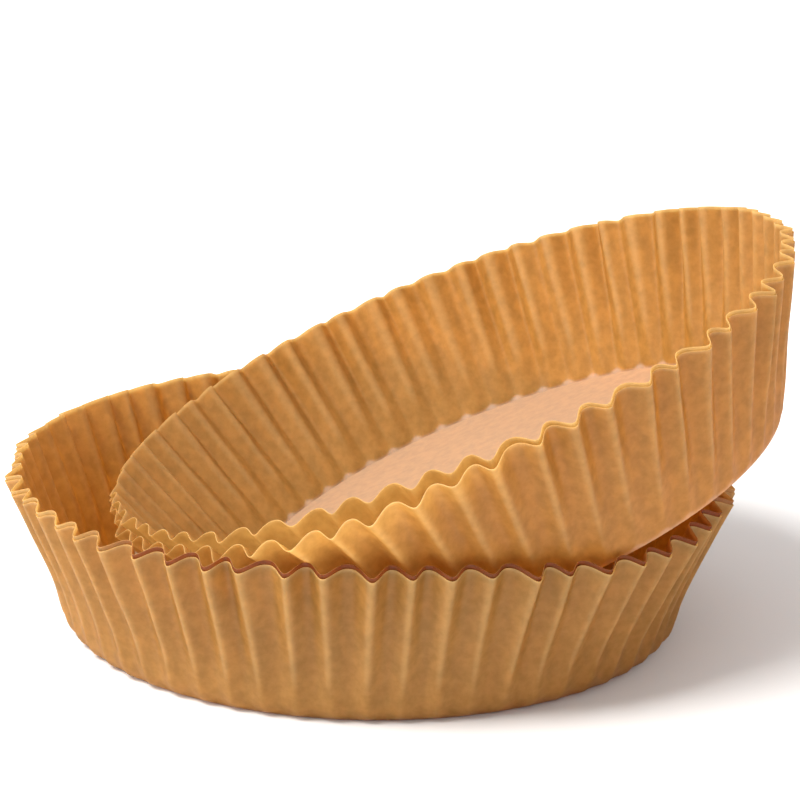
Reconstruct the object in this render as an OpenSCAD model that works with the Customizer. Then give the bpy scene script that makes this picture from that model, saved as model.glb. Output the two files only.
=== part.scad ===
// Stack of round air fryer paper liners: four fluted greaseproof-paper cups, two and two.
// The lower pair stands upright. The upper pair was lifted, slid to the right and leans: its low
// edge stands on the lower pair's floor and its floor lies across the lower pair's rim, which is
// pressed outwards there and leans inwards at the front. The upper pair sags open at its low near
// side, the outer liner further than the inner one.
// Millimetres, +Z up. The origin is the middle of the lowest liner's floor, on its underside.

/* [Liner] */
// Distance across the rim, over the flute crests
rim_d = 200; // [190:1:240]
// Diameter of the flat floor
foot_d = 162; // [130:1:168]
// Height of the wall, halfway between crest and valley
wall_h = 43; // [35:1:60]
// Thickness of the sheet
paper_t = 0.15; // [0.1:0.05:0.3]

/* [Flutes] */
// Number of flutes around the wall
flute_count = 60; // [40:1:90]
// Depth of a flute at the rim, from crest to valley
flute_depth = 4.2; // [2:0.1:5]
// Share of a flute that its rounded crest takes, and its rounded valley too
fold_share = 0.32; // [0.1:0.02:0.4]
// Share of the flute's half depth at which a rounded fold turns into a straight side
fold_level = 0.55; // [0.5:0.05:0.9]

/* [Stack] */
// Clearance between the walls of the lower pair
lower_nest_gap = 0.15; // [0.1:0.05:0.6]
// Clearance between the walls of the upper pair, which is pulled further apart
upper_nest_gap = 0.2; // [0.1:0.05:1]
// Clearance between the upper pair and the floor and rim that it rests on
seat_gap = 0.25; // [0.15:0.05:1]
// Lean of the upper pair, out of level
lean = 22.5; // [17:0.5:25]
// Direction that the upper pair is slid to, from +X towards +Y
slide_turn = 1; // [-30:0.5:30]
// Turn of the lower pair's flutes about its own axis
lower_spin = -0.5; // [-3:0.1:3]
// Turn of the upper pair's flutes about its own axis
upper_spin = -1.9; // [-3:0.1:3]

/* [Bent walls] */
// How far the lower pair's rim is pressed out at each of the two places that carry the upper pair
press = 3; // [0:0.5:5]
// Half of the width of a pressed stretch, as an angle about the liner's axis
press_half = 26; // [20:1:45]
// How far the lower pair's rim leans inwards at the front, up to where the upper pair crosses it
tuck = 3.5; // [0:0.5:3.5]
// Half of the width of this inward lean
tuck_half = 45; // [30:1:48]
// How far the rim of the upper pair's outer liner sags outwards
sag = 5; // [0:0.5:5.5]
// Direction of the sag from the liner's axis, from its high side
sag_turn = 230; // [210:1:235]
// Half of the width of the sag, as an angle about the liner's axis
sag_half = 60; // [45:1:65]
// Share of the sag that the upper pair's inner liner follows
inner_sag_share = 0.5; // [0:0.05:0.8]
// Half of the width of the inner liner's sag
inner_sag_half = 32; // [20:1:40]

/* [Hidden] */

foot_r = foot_d / 2;
rim_r = (rim_d - flute_depth) / 2;

// The wall is flat paper, pleated: each line from foot to rim has one length
wall_len = sqrt(pow(wall_h, 2) + pow(rim_r - foot_r, 2));
blank_d = foot_d + 2 * wall_len;

// One flute as [share of a turn of one flute, level from -1 in the valley to 1 on the crest]
FLUTE = [
    [0, 1],
    [fold_share / 2, fold_level],
    [0.5 - fold_share / 2, -fold_level],
    [0.5, -1],
    [0.5 + fold_share / 2, -fold_level],
    [1 - fold_share / 2, fold_level]
];
rim_n = len(FLUTE);
foot_n = 2;
rim_count = rim_n * flute_count;
foot_count = foot_n * flute_count;

// The rim at a level of its flutes, where its wall is bent outwards about the foot by push
function rim_radius(level, push = 0) = rim_r + push + level * flute_depth / 2;
function rim_height(level, push = 0) =
    sqrt(pow(wall_len, 2) - pow(rim_radius(level, push) - foot_r, 2));

// How far a nested liner rises for a sheet and a clearance between the walls, at its steepest
function nest_lift(gap, push = 0) =
    (paper_t + gap) * rim_height(-1, push) / (rim_radius(-1, push) - foot_r);
lower_lift = nest_lift(lower_nest_gap, -tuck);
upper_lift = nest_lift(upper_nest_gap);

// The seat: the low edge on the inner liner's floor, and the floor over the valleys of its rim
seat_floor_z = lower_lift + paper_t + seat_gap;
seat_rim_z = lower_lift + rim_height(-1, press) + seat_gap;
seat_rise = seat_rim_z - seat_floor_z;
// Along the floor, from its low edge to the line at the height of the rim, past its middle
seat_chord_x = seat_rise / sin(lean) - foot_r;
seat_chord_y = sqrt(pow(foot_r, 2) - pow(seat_chord_x, 2));
// From the stack's middle to where this line ends on the rim, and back to the low edge
seat_end_x = sqrt(pow(rim_radius(-1, press), 2) - pow(seat_chord_y, 2));
seat_x = seat_rise / tan(lean) - seat_end_x;
seat_end_turn = atan2(seat_chord_y, seat_end_x);

// Bends of a liner's wall, each as [direction from its axis, half width, push at the middle]
lower_turn = slide_turn - lower_spin;
LOWER_BENDS = [
    [lower_turn - seat_end_turn, press_half, press],
    [lower_turn + seat_end_turn, press_half, press],
    [lower_turn - seat_end_turn - tuck_half, tuck_half, -tuck]
];
OUTER_SAG = [[sag_turn - upper_spin, sag_half, sag]];
INNER_SAG = [[sag_turn - upper_spin, inner_sag_half, sag * inner_sag_share]];

function turn_between(a, b) = abs((a - b + 900) % 360 - 180);
function bend_push(bend, turn) =
    let (away = turn_between(turn, bend[0]) / bend[1])
    away < 1 ? bend[2] * pow(cos(90 * away), 2) : 0;
function total_push(bends, turn, i = 0) =
    i < len(bends) ? bend_push(bends[i], turn) + total_push(bends, turn, i + 1) : 0;

// Rings of points: the foot has a point for each crest and valley line
function foot_ring(radius, z) = [
    for (i = [0 : foot_count - 1])
        let (turn = 360 * i / foot_count)
        [radius * cos(turn), radius * sin(turn), z]
];
function rim_ring(bends, inset) = [
    for (i = [0 : flute_count - 1], step = FLUTE)
        let (
            turn = 360 * (i + step[0]) / flute_count,
            push = total_push(bends, turn),
            radius = rim_radius(step[1], push) - inset
        )
        [radius * cos(turn), radius * sin(turn), rim_height(step[1], push)]
];

// Triangles of a pleated wall between the foot ring at a and the rim ring at b: from each foot
// point a fan to the rim points of its fold, and two triangles for the straight side after it
function wall_faces(a, b) = [
    for (i = [0 : foot_count - 1])
        let (
            low = a + i,
            next = a + (i + 1) % foot_count,
            r0 = b + i * rim_n / foot_n,
            r1 = r0 + 1,
            r2 = r0 + 2,
            r3 = b + (i + 1) * rim_n / foot_n % rim_count
        )
        each [[low, r0, r1], [low, r1, r2], [low, r2, next], [next, r2, r3]]
];
// Triangles of the cut edge between the outer rim ring at a and the inner one at b
function edge_faces(a, b) = [
    for (i = [0 : rim_count - 1])
        let (j = (i + 1) % rim_count)
        each [[a + i, b + i, b + j], [a + i, b + j, a + j]]
];
function turned_over(faces) = [for (face = faces) [for (k = [len(face) - 1 : -1 : 0]) face[k]]];

// One sheet: floor, fluted wall and cut edge as one closed thin solid
module liner(bends = []) {
    outer_foot = 0;
    inner_foot = foot_count;
    outer_rim = 2 * foot_count;
    inner_rim = outer_rim + rim_count;
    floor_under = [for (i = [0 : foot_count - 1]) outer_foot + i];
    floor_top = [for (i = [foot_count - 1 : -1 : 0]) inner_foot + i];
    polyhedron(
        points = concat(
            foot_ring(foot_r, 0),
            foot_ring(foot_r - paper_t, paper_t),
            rim_ring(bends, 0),
            rim_ring(bends, paper_t)
        ),
        faces = concat(
            [floor_under, floor_top],
            wall_faces(outer_foot, outer_rim),
            turned_over(wall_faces(inner_foot, inner_rim)),
            edge_faces(outer_rim, inner_rim)
        )
    );
}

// The upper pair's place: tipped about its low edge, then set down on its seat
module on_seat() {
    rotate([0, 0, slide_turn])
        translate([-seat_x, 0, seat_floor_z])
            rotate([0, -lean, 0])
                translate([foot_r, 0, 0])
                    rotate([0, 0, upper_spin])
                        children();
}

module lower_liner_outer() {
    color([0.78, 0.60, 0.38])
        rotate([0, 0, lower_spin])
            liner(LOWER_BENDS);
}

module lower_liner_inner() {
    color([0.66, 0.42, 0.24])
        translate([0, 0, lower_lift])
            rotate([0, 0, lower_spin])
                liner(LOWER_BENDS);
}

module upper_liner_outer() {
    color([0.80, 0.58, 0.34])
        on_seat()
            liner(OUTER_SAG);
}

module upper_liner_inner() {
    color([0.89, 0.70, 0.50])
        on_seat()
            translate([0, 0, upper_lift])
                liner(INNER_SAG);
}

lower_liner_outer();
lower_liner_inner();
upper_liner_outer();
upper_liner_inner();
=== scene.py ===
import math

import bmesh
import bpy
from mathutils import Matrix, Vector, noise


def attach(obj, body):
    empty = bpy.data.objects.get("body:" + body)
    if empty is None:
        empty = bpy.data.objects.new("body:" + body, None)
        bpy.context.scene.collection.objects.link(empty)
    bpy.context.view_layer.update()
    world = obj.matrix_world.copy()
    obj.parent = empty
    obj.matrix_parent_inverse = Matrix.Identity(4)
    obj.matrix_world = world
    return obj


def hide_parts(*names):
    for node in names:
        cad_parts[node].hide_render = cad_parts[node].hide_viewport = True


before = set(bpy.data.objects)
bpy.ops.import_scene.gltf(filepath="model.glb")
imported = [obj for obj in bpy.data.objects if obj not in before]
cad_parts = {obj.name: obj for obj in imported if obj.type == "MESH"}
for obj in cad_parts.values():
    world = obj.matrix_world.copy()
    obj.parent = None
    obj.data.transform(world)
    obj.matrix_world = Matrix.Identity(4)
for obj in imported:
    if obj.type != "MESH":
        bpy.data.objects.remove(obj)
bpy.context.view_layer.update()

# Sizes of one liner, as in the part's source, in metres
RIM_D = 0.200
FOOT_D = 0.162
WALL_H = 0.043
PAPER_T = 0.00015
FLUTES = 60
FLUTE_DEPTH = 0.0042

# How the four liners stand
LOWER_NEST_GAP = 0.00015
UPPER_NEST_GAP = 0.0002
SEAT_GAP = 0.00025
LEAN = math.radians(22.5)
SLIDE_TURN = math.radians(1)
LOWER_SPIN = math.radians(-0.5)
UPPER_SPIN = math.radians(-1.9)

# How far rims are bent outwards or inwards, and over which half angle
PRESS = 0.003
PRESS_HALF = math.radians(26)
TUCK = 0.0035
TUCK_HALF = math.radians(45)
SAG = 0.005
SAG_TURN = math.radians(230)
SAG_HALF = math.radians(60)
INNER_SAG_SHARE = 0.5
INNER_SAG_HALF = math.radians(32)

FOOT_R = FOOT_D / 2
RIM_R = (RIM_D - FLUTE_DEPTH) / 2
WALL_LEN = math.hypot(WALL_H, RIM_R - FOOT_R)


def rim_radius(level, push=0):
    """Radius of the rim on a level of its flutes, where it is pushed outwards"""
    return RIM_R + push + level * FLUTE_DEPTH / 2


def rim_height(level, push=0):
    """Height of the same point: the sheet keeps its length from foot to rim"""
    return math.sqrt(WALL_LEN**2 - (rim_radius(level, push) - FOOT_R) ** 2)


def nest_lift(gap, push=0):
    """How far a nested liner rises for a sheet and a gap between the walls"""
    return (PAPER_T + gap) * rim_height(-1, push) / (rim_radius(-1, push) - FOOT_R)


# The seat: the upper pair's low edge on the lower floor, its floor over the lower rim
LOWER_LIFT = nest_lift(LOWER_NEST_GAP, -TUCK)
UPPER_LIFT = nest_lift(UPPER_NEST_GAP)
SEAT_FLOOR_Z = LOWER_LIFT + PAPER_T + SEAT_GAP
SEAT_RISE = LOWER_LIFT + rim_height(-1, PRESS) + SEAT_GAP - SEAT_FLOOR_Z
SEAT_CHORD_X = SEAT_RISE / math.sin(LEAN) - FOOT_R
SEAT_CHORD_Y = math.sqrt(FOOT_R**2 - SEAT_CHORD_X**2)
SEAT_END_X = math.sqrt(rim_radius(-1, PRESS) ** 2 - SEAT_CHORD_Y**2)
SEAT_X = SEAT_RISE / math.tan(LEAN) - SEAT_END_X
SEAT_END_TURN = math.atan2(SEAT_CHORD_Y, SEAT_END_X)

# Bends of a wall: direction from the liner's axis, half width, push at the middle
LOWER_TURN = SLIDE_TURN - LOWER_SPIN
LOWER_BENDS = [
    (LOWER_TURN - SEAT_END_TURN, PRESS_HALF, PRESS),
    (LOWER_TURN + SEAT_END_TURN, PRESS_HALF, PRESS),
    (LOWER_TURN - SEAT_END_TURN - TUCK_HALF, TUCK_HALF, -TUCK),
]
OUTER_SAG = [(SAG_TURN - UPPER_SPIN, SAG_HALF, SAG)]
INNER_SAG = [(SAG_TURN - UPPER_SPIN, INNER_SAG_HALF, SAG * INNER_SAG_SHARE)]

# The sagging rim flares out a little more over the lower pair's rim, mostly at its top
RIM_FLARE = [(math.radians(252) - UPPER_SPIN, math.radians(36), 0.0026)]
FLARE_CURVE = 4

# Stretches of the upper pair where its flutes are opened out, with the share of their depth
LOW_END = [(math.radians(195), math.radians(65), 0.4)]
NEAR_SIDE = [(math.radians(232), math.radians(36), 0.2)]

# Heels: how far the foot is drawn in, how far the wall swells just above it, how oval it is
OUTER_HEEL = (0.0004, 0.0019, 0.0014)
INNER_HEEL = (0.0008, 0.0015, 0.0014)
UPPER_HEEL = (0.0003, 0, 0)
HEEL_UP = 0.09
OVAL_UP = 0.3
HEEL_FROM = 0.8
HEEL_FADE = 0.2

# Mesh of one liner
COLUMNS_PER_FLUTE = 16
COLUMNS = FLUTES * COLUMNS_PER_FLUTE
FLOOR_RINGS = [0.003, 0.009, 0.014, 0.016, 0.016]
FLOOR_TOP = WALL_H * 0.002
SMOOTH_ANGLE = math.radians(50)

# Rings of the wall: share of the way up, crease of its folds (below 1), rows of faces below it
WALL_RINGS = [
    (0.035, 0.75, 2),
    (0.10, 0.85, 2),
    (0.22, 0.92, 3),
    (0.36, 0.92, 4),
    (0.6, 0.85, 6),
    (1, 0.30, 9),
]
FOOT_SWING = 0.16
RIM_SOFTENING = 0.86
CREST_NARROWING = 1.25

# Where the painted highlight on crests, the painted shade in grooves and the painted sheen on the
# floor start on the wall, and how fast they grow or fade
TINT_CREASE = 0.8
TINT_FROM = 0.05
TINT_RISE = 3.5
FLOOR_REACH = 0.018
FLOOR_REACH_LEVEL = 0.2
FLOOR_FADE = 0.03

# Hand-made unevenness of the pleats
SPACING_SWING = math.radians(0.9)
SPACING_WAVE = 0.055
PLEAT_TURN = math.radians(1.3)
PLEAT_WAVE = 0.012
PLEAT_CREASE = 0.7
DEPTH_SWING = 0.5
RIM_SWING = 0.0006
RIM_WAVE = 0.05
RIM_DROP = 0.4
WRINKLE = 0.00035
WRINKLE_WAVE = 0.008
WRINKLE_STRETCH = 0.35
WRINKLE_RISE = 6

# The painted shade on the near top edge of the lower pair's inner liner: its stretch, and where
# it starts on the wall
SHADED_EDGE = (math.radians(-75), math.radians(75), 1)
SHADED_EDGE_FROM = 0.95
SHADED_EDGE_RISE = 3

# Colours of the paper, and of the highlights, shade and sheen painted on it
PULP_DARK = (0.46, 0.280, 0.075)
PULP_LIGHT = (0.53, 0.330, 0.097)
MOTTLE = (0.87, 0.84, 0.80)
SPECK = (0.80, 0.72, 0.6)
FLOOR_SHEEN = (0.66, 0.53, 0.42)
CREST_HIGHLIGHT = (0.78, 0.60, 0.28)
GROOVE_SHADE = (0.34, 0.18, 0.05)
RIM_HIGHLIGHT = (0.84, 0.68, 0.36)
EDGE_SHADE = (0.25, 0.078, 0.018)
GLOW = (0.96, 0.715, 0.355)
EDGE_SHADE_GLOW = (0.4, 0.12, 0.03)
GLOW_SHARE = 0.64
BLACK = (0, 0, 0)
WHITE = (1, 1, 1)


def fold_level(share, crease):
    """Level of a flute, 1 on its crest and -1 in its valley, at a share of its width"""
    wave = math.asin(crease * math.cos(2 * math.pi * share)) / math.asin(crease)
    return 2 * (0.5 + 0.5 * wave) ** CREST_NARROWING - 1


def wall_place(up, level):
    """Radius and height at a share of the way up the wall, on a level of its flutes"""
    swing = level * (FOOT_SWING + (RIM_SOFTENING - FOOT_SWING) * up) * FLUTE_DEPTH / 2
    return FOOT_R + up * (RIM_R - FOOT_R) + swing, up * rim_height(level)


def wall_share(co):
    """How far up the wall a point is, from 0 on the floor to 1 on the rim"""
    if co.z < FLOOR_TOP:
        return 0.0
    return min(1.0, math.hypot(math.hypot(co.x, co.y) - FOOT_R, co.z) / WALL_LEN)


def flute_share(co):
    """Where a point lies across its flute, from 0 on one crest to 1 on the next"""
    return (math.atan2(co.y, co.x) / (2 * math.pi) * FLUTES) % 1


def swell(turn, stretches):
    """Sum over stretches (middle, half width, amount) of a smooth rise and fall"""
    total = 0
    for middle, half, amount in stretches:
        away = abs((turn - middle + math.pi) % (2 * math.pi) - math.pi) / half
        if away < 1:
            total += amount * math.cos(math.pi / 2 * away) ** 2
    return total


def select_alone(obj):
    """Selects this object alone and makes it the active one"""
    bpy.ops.object.select_all(action="DESELECT")
    obj.select_set(True)
    bpy.context.view_layer.objects.active = obj


def select_points(liner, wanted):
    """In edit mode, selects only the points with these numbers"""
    bpy.ops.mesh.select_all(action="DESELECT")
    mesh = bmesh.from_edit_mesh(liner.data)
    mesh.verts.ensure_lookup_table()
    for index in wanted:
        mesh.verts[index].select_set(True)
    mesh.select_flush_mode()
    bmesh.update_edit_mesh(liner.data)


def selected_points(liner):
    """In edit mode, each selected point's number and place"""
    mesh = bmesh.from_edit_mesh(liner.data)
    mesh.verts.index_update()
    return {vert.index: vert.co.copy() for vert in mesh.verts if vert.select}


def add_ring(liner, up, crease):
    """Adds a ring of the wall, moves each phase of its flutes into place, returns its points"""
    bpy.ops.mesh.select_all(action="DESELECT")
    radius, height = wall_place(up, 0)
    bpy.ops.mesh.primitive_circle_add(vertices=COLUMNS, radius=radius, location=(0, 0, height))
    ring = selected_points(liner)
    phase = {v: round(flute_share(co) * COLUMNS_PER_FLUTE) for v, co in ring.items()}
    for step in range(COLUMNS_PER_FLUTE // 2 + 1):
        both_sides = (step, (COLUMNS_PER_FLUTE - step) % COLUMNS_PER_FLUTE)
        select_points(liner, [v for v in ring if phase[v] % COLUMNS_PER_FLUTE in both_sides])
        ring_r, ring_z = wall_place(up, fold_level(step / COLUMNS_PER_FLUTE, crease))
        scale = ring_r / radius
        bpy.ops.transform.resize(value=(scale, scale, 1), center_override=(0, 0, height))
        bpy.ops.transform.translate(value=(0, 0, ring_z - height))
    return list(ring)


def model_liner():
    """One liner, upright at the origin: floor, rings of the pleated wall, faces between them"""
    bpy.ops.object.select_all(action="DESELECT")
    bpy.ops.mesh.primitive_circle_add(vertices=COLUMNS, radius=FOOT_R, fill_type="NGON")
    liner = bpy.context.active_object
    bpy.ops.object.mode_set(mode="EDIT")
    bpy.ops.mesh.select_mode(type="VERT")
    bpy.ops.mesh.select_all(action="SELECT")
    below = list(selected_points(liner))
    for ring in FLOOR_RINGS:
        bpy.ops.mesh.inset(thickness=ring, depth=0)
    bpy.ops.mesh.poke()
    for up, crease, rows in WALL_RINGS:
        ring = add_ring(liner, up, crease)
        select_points(liner, below + ring)
        bpy.ops.mesh.bridge_edge_loops(number_cuts=rows - 1, interpolation="LINEAR")
        below = ring
    bpy.ops.mesh.select_all(action="SELECT")
    bpy.ops.mesh.normals_make_consistent(inside=False)
    bpy.ops.object.mode_set(mode="OBJECT")
    return liner


def store_folds(liner):
    """Keeps on each point what its colour needs: how far up the wall it is, its level on its
    flute, fading towards the foot, and the floor, which reaches up a little in each flute. These
    carry the painted highlights on crests and rim, the painted shade in grooves and the painted
    sheen on the floor."""
    wall = liner.data.attributes.new("wall", "FLOAT", "POINT")
    fold = liner.data.attributes.new("fold", "FLOAT", "POINT")
    floor = liner.data.attributes.new("floor", "FLOAT", "POINT")
    for vert in liner.data.vertices:
        up = wall_share(vert.co)
        level = fold_level(flute_share(vert.co), TINT_CREASE)
        wall.data[vert.index].value = up
        fold.data[vert.index].value = level * min(1, max(0, up - TINT_FROM) * TINT_RISE)
        reach = FLOOR_REACH * max(0, level + FLOOR_REACH_LEVEL)
        floor.data[vert.index].value = min(1, max(0, 1 - (up - reach) / FLOOR_FADE))


def make_uneven(liner, seed, flat):
    """Makes pleats uneven in width, depth and height, more towards the rim, and opens them
    out by a share of their depth on the flat stretches"""
    shift = Vector((seed * 3.1, seed * 1.7, seed * 2.3))
    for vert in liner.data.vertices:
        co = vert.co
        up = wall_share(co)
        if up == 0:
            continue
        share = flute_share(co)
        around = Vector((co.x, co.y, 0)).normalized()
        past_crest = (share if share < 0.5 else share - 1) * 2 * math.pi / FLUTES
        crest = Matrix.Rotation(-past_crest, 3, "Z") @ around
        own = noise.noise(crest * RIM_R / PLEAT_WAVE + shift * 2)
        turn = up * SPACING_SWING * noise.noise(around * RIM_R / SPACING_WAVE + shift)
        turn += up * PLEAT_TURN * noise.noise(around * RIM_R / PLEAT_WAVE + shift * 3)
        wide = noise.noise(around * RIM_R / RIM_WAVE - shift)
        level = fold_level(share, PLEAT_CREASE)
        soft = noise.noise(Vector((co.x, co.y, co.z * WRINKLE_STRETCH)) / WRINKLE_WAVE + shift)
        co.rotate(Matrix.Rotation(turn, 3, "Z"))
        out = Vector((co.x, co.y, 0)).normalized()
        depth = (level + 1) * own * DEPTH_SWING * FLUTE_DEPTH / 2
        depth -= level * swell(math.atan2(co.y, co.x), flat) * FLUTE_DEPTH / 2
        co += out * up * (RIM_SWING * wide + depth)
        co += out * WRINKLE * soft * min(1, up * WRINKLE_RISE)
        co.z -= up * max(0, RIM_DROP * (RIM_SWING * wide + depth))


def bend_wall(liner, bends, flares):
    """Bends the wall about the foot: the sheet keeps its length from foot to rim. A flare
    grows towards the rim"""
    for vert in liner.data.vertices:
        out = math.hypot(vert.co.x, vert.co.y)
        if vert.co.z < FLOOR_TOP or out < FOOT_R:
            continue
        turn = math.atan2(vert.co.y, vert.co.x)
        push = swell(turn, bends) + swell(turn, flares) * wall_share(vert.co) ** FLARE_CURVE
        if push:
            reach = math.hypot(out - FOOT_R, vert.co.z)
            slope = (out - FOOT_R) / reach + push / WALL_LEN
            scale = (FOOT_R + reach * slope) / out
            vert.co = (vert.co.x * scale, vert.co.y * scale, reach * math.sqrt(1 - slope**2))


def round_heel(liner, foot_in, bulge, oval):
    """Draws the foot in a little, lets the wall swell just above it, makes the foot oval"""
    for vert in liner.data.vertices:
        out = math.hypot(vert.co.x, vert.co.y)
        up = wall_share(vert.co)
        if out > FOOT_R * HEEL_FROM:
            belly = bulge * up / HEEL_UP * math.exp(1 - up / HEEL_UP)
            inner = min(1, (out / FOOT_R - HEEL_FROM) / HEEL_FADE)
            wide = oval * math.cos(2 * math.atan2(vert.co.y, vert.co.x)) * math.exp(-up / OVAL_UP)
            move = belly + (wide - foot_in * math.exp(-up / HEEL_UP)) * inner
            vert.co.x *= 1 + move / out
            vert.co.y *= 1 + move / out


def paper_material():
    """Unbleached greaseproof paper: tan, faintly mottled, lets some light through"""
    material = bpy.data.materials.new("brown_paper")
    material.use_nodes = True
    tree = material.node_tree
    nodes = tree.nodes
    links = tree.links
    nodes.clear()

    def add(kind, **values):
        node = nodes.new(kind)
        for name, value in values.items():
            setattr(node, name, value)
        return node

    place = add("ShaderNodeTexCoord")

    def cloud(scale, detail, roughness=0.55):
        """Soft noise over the paper"""
        node = add("ShaderNodeTexNoise")
        node.inputs["Scale"].default_value = scale
        node.inputs["Detail"].default_value = detail
        node.inputs["Roughness"].default_value = roughness
        links.new(place.outputs["Object"], node.inputs["Vector"])
        return node.outputs["Fac"]

    def ramp(fac, low, high, low_colour, high_colour):
        """A colour at a low value that turns into another at a high one"""
        node = add("ShaderNodeValToRGB")
        node.color_ramp.elements[0].position = low
        node.color_ramp.elements[0].color = (*low_colour, 1)
        node.color_ramp.elements[1].position = high
        node.color_ramp.elements[1].color = (*high_colour, 1)
        links.new(fac, node.inputs["Fac"])
        return node.outputs["Color"]

    def multiply(fac, a, b):
        node = add("ShaderNodeMix", data_type="RGBA", blend_type="MULTIPLY")
        node.inputs["Factor"].default_value = fac
        links.new(a, node.inputs["A"])
        links.new(b, node.inputs["B"])
        return node.outputs["Result"]

    def cover(fac, a, b):
        """Colour b over colour a, as much as fac says"""
        node = add("ShaderNodeMix", data_type="RGBA")
        links.new(fac, node.inputs["Factor"])
        links.new(a, node.inputs["A"])
        node.inputs["B"].default_value = (*b, 1)
        return node.outputs["Result"]

    def half(name, plus=0):
        """Half of a value that is stored on the points, so that a ramp can read past 1"""
        stored = add("ShaderNodeAttribute", attribute_name=name)
        node = add("ShaderNodeMath", operation="MULTIPLY_ADD")
        links.new(stored.outputs["Fac"], node.inputs[0])
        node.inputs[1].default_value = 0.5
        node.inputs[2].default_value = plus
        return node.outputs["Value"]

    def grey(share):
        return (share,) * 3

    mottle = ramp(cloud(360, 4, 0.6), 0.34, 0.64, MOTTLE, WHITE)
    colour = ramp(cloud(28, 3), 0.35, 0.68, PULP_DARK, PULP_LIGHT)
    colour = multiply(1, colour, mottle)
    colour = multiply(0.6, colour, ramp(cloud(1500, 2), 0.26, 0.36, SPECK, WHITE))
    # Painted sheen: the liner's floor, and a little way up each flute, made paler as if
    # reflecting the bright surroundings
    colour = cover(ramp(half("floor"), 0.15, 0.45, BLACK, grey(0.7)), colour, FLOOR_SHEEN)
    level = half("fold", 0.5)
    # Painted highlight along the crests of the flutes, fading towards the foot
    colour = cover(ramp(level, 0.75, 1, BLACK, grey(0.26)), colour, CREST_HIGHLIGHT)
    # Painted shade in the grooves of the flutes, fading towards the foot
    colour = cover(ramp(level, 0, 0.3, grey(0.3), BLACK), colour, GROOVE_SHADE)
    up = half("wall")
    # Painted highlight along the rim's cut edge
    colour = cover(ramp(up, 0.49, 0.495, BLACK, grey(0.35)), colour, RIM_HIGHLIGHT)
    # Painted shade on the near top edge of the lower pair's inner liner
    colour = cover(ramp(up, 0.52, 0.85, BLACK, WHITE), colour, EDGE_SHADE)

    grain = add("ShaderNodeBump")
    grain.inputs["Strength"].default_value = 0.25
    grain.inputs["Distance"].default_value = 0.0002
    links.new(cloud(900, 5, 0.65), grain.inputs["Height"])
    body = add("ShaderNodeBsdfPrincipled")
    body.inputs["Roughness"].default_value = 0.4
    body.inputs["Specular IOR Level"].default_value = 0.5
    links.new(colour, body.inputs["Base Color"])
    links.new(grain.outputs["Normal"], body.inputs["Normal"])
    glow = add("ShaderNodeBsdfTranslucent")
    # Light through the paper, dimmed on the painted shade of that near top edge
    through = multiply(1, ramp(up, 0.52, 0.85, GLOW, EDGE_SHADE_GLOW), mottle)
    links.new(through, glow.inputs["Color"])
    both = add("ShaderNodeMixShader")
    both.inputs["Fac"].default_value = GLOW_SHARE
    links.new(body.outputs["BSDF"], both.inputs[1])
    links.new(glow.outputs["BSDF"], both.inputs[2])
    out = add("ShaderNodeOutputMaterial")
    links.new(both.outputs["Shader"], out.inputs["Surface"])
    return material


def lower_place(lift):
    """Upright, raised by its lift"""
    return Matrix.Translation((0, 0, lift)) @ Matrix.Rotation(LOWER_SPIN, 4, "Z")


def upper_place(lift):
    """Tipped about the low edge of its floor, then set down on its seat"""
    return (
        Matrix.Rotation(SLIDE_TURN, 4, "Z")
        @ Matrix.Translation((-SEAT_X, 0, SEAT_FLOOR_Z))
        @ Matrix.Rotation(-LEAN, 4, "Y")
        @ Matrix.Translation((FOOT_R, 0, lift))
        @ Matrix.Rotation(UPPER_SPIN, 4, "Z")
    )


def finish_liner(form, node, place, seed, paper, bends, flares=(), flat=(), heel=(0, 0, 0)):
    """A copy of the form with its own mesh: uneven, bent, put in place, given its thickness"""
    select_alone(form)
    bpy.ops.object.duplicate(linked=False)
    liner = bpy.context.active_object
    liner.name = "paper_" + node
    make_uneven(liner, seed, flat)
    bend_wall(liner, bends, flares)
    round_heel(liner, *heel)
    liner.matrix_world = place
    bpy.ops.object.transform_apply(location=True, rotation=True, scale=True)
    outside = len(liner.data.vertices)
    sheet = liner.modifiers.new("sheet", "SOLIDIFY")
    sheet.thickness = PAPER_T
    sheet.offset = -1
    bpy.ops.object.modifier_apply(modifier=sheet.name)
    # Seen from the inside, a crest is a groove
    fold = liner.data.attributes["fold"].data
    for index in range(outside, len(fold)):
        fold[index].value *= -1
    bpy.ops.object.shade_smooth_by_angle(angle=SMOOTH_ANGLE)
    liner.data.materials.clear()
    liner.data.materials.append(paper)
    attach(liner, "root")
    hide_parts(node)
    return liner


def mark_shaded_edge(liner):
    """Marks the top of the outer face, on its near side, for painted shade in place of the
    painted highlight on the rim
    """
    wall = liner.data.attributes["wall"].data
    for index in range(len(wall) // 2):
        co = liner.data.vertices[index].co
        near = swell(math.atan2(co.y, co.x), [SHADED_EDGE])
        if wall[index].value > SHADED_EDGE_FROM and near > 0:
            wall[index].value = 1 + min(1, near * SHADED_EDGE_RISE)


def build_liners():
    """The lower pair shares one unevenness, the upper pair another, so that each pair nests"""
    paper = paper_material()
    form = model_liner()
    store_folds(form)
    place = lower_place(0)
    finish_liner(form, "lower_liner_outer", place, 1, paper, LOWER_BENDS, heel=OUTER_HEEL)
    place = lower_place(LOWER_LIFT)
    liner = finish_liner(form, "lower_liner_inner", place, 1, paper, LOWER_BENDS, heel=INNER_HEEL)
    mark_shaded_edge(liner)
    place = upper_place(0)
    finish_liner(form, "upper_liner_outer", place, 2, paper, OUTER_SAG, RIM_FLARE, LOW_END)
    place = upper_place(UPPER_LIFT)
    flat = LOW_END + NEAR_SIDE
    finish_liner(form, "upper_liner_inner", place, 2, paper, INNER_SAG, (), flat, UPPER_HEEL)
    bpy.data.objects.remove(form)


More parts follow.
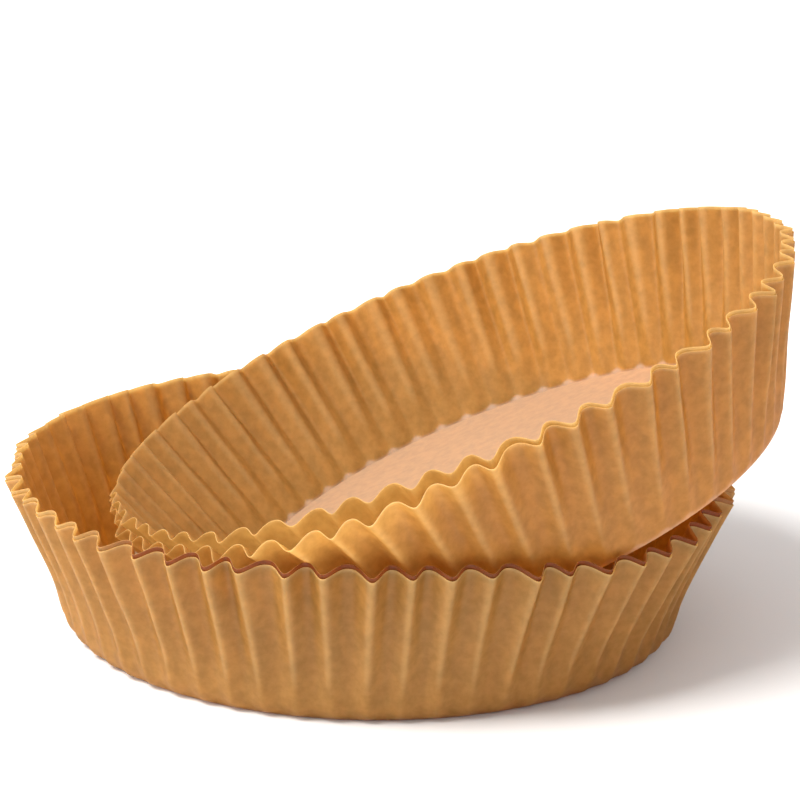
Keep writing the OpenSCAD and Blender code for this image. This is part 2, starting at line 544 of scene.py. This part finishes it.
# Camera, found from the rim, floor and wall lines
IMAGE_PX = 800
SENSOR_MM = 36
FOCAL_PX = 2400
CAMERA_DISTANCE = 0.678
CAMERA_ELEVATION = math.radians(20.98)
CAMERA_ROLL = math.radians(0.73)
ORIGIN_PX = (373.1, 606.6)


def place_camera():
    """The camera looks from the front and above, with the frame's origin at ORIGIN_PX"""
    data = bpy.data.cameras.new("camera")
    data.sensor_width = SENSOR_MM
    data.lens = FOCAL_PX / IMAGE_PX * SENSOR_MM
    data.clip_start = 0.01
    data.clip_end = 20
    camera = bpy.data.objects.new("camera", data)
    bpy.context.scene.collection.objects.link(camera)
    bpy.context.scene.camera = camera
    back = Vector((0, -math.cos(CAMERA_ELEVATION), math.sin(CAMERA_ELEVATION)))
    aim = (-back).to_track_quat("-Z", "Y").to_matrix().to_4x4()
    right = math.atan((ORIGIN_PX[0] - IMAGE_PX / 2) / FOCAL_PX)
    down = math.atan((ORIGIN_PX[1] - IMAGE_PX / 2) / FOCAL_PX)
    turn = Matrix.Rotation(right, 4, "Y") @ Matrix.Rotation(down, 4, "X")
    roll = Matrix.Rotation(CAMERA_ROLL, 4, "Z")
    camera.matrix_world = Matrix.Translation(back * CAMERA_DISTANCE) @ aim @ turn @ roll


# Studio light: power in watts, size and place in metres
SKY_STRENGTH = 0.82
LIT_PLACE = (0.02, 0, 0.04)
KEY_LIGHT = (113, 1.3, (-1.05, -0.55, 2.1), (1, 0.985, 0.96))
SIDE_LIGHT = (5, 0.5, (-1.1, -0.4, 0.35), (1, 0.97, 0.93))
FLOOR_SIZE = 6
FLOOR_GREY = 0.82


def add_area_light(name, power, size, place, colour):
    """A square soft light that points at the stack"""
    data = bpy.data.lights.new(name, "AREA")
    data.energy = power
    data.size = size
    data.color = colour
    lamp = bpy.data.objects.new(name, data)
    bpy.context.scene.collection.objects.link(lamp)
    lamp.location = place
    aim = Vector(LIT_PLACE) - Vector(place)
    lamp.rotation_euler = aim.to_track_quat("-Z", "Y").to_euler()


def light_studio():
    """White surroundings, a large soft light from the left and a small low one beside it"""
    world = bpy.data.worlds.new("studio")
    bpy.context.scene.world = world
    world.use_nodes = True
    sky = world.node_tree.nodes["Background"]
    sky.inputs["Color"].default_value = (1, 1, 1, 1)
    sky.inputs["Strength"].default_value = SKY_STRENGTH
    add_area_light("key", *KEY_LIGHT)
    add_area_light("side", *SIDE_LIGHT)


def lay_floor():
    """The plain pale surface that the stack stands on"""
    bpy.ops.object.select_all(action="DESELECT")
    bpy.ops.mesh.primitive_plane_add(size=FLOOR_SIZE, location=(0, 0, 0))
    floor = bpy.context.active_object
    floor.name = "floor"
    pale = bpy.data.materials.new("pale_floor")
    pale.use_nodes = True
    shader = pale.node_tree.nodes["Principled BSDF"]
    shader.inputs["Base Color"].default_value = (FLOOR_GREY, FLOOR_GREY, FLOOR_GREY, 1)
    shader.inputs["Roughness"].default_value = 0.7
    floor.data.materials.append(pale)


bpy.context.scene.view_settings.view_transform = "Standard"
place_camera()
light_studio()
lay_floor()
build_liners()
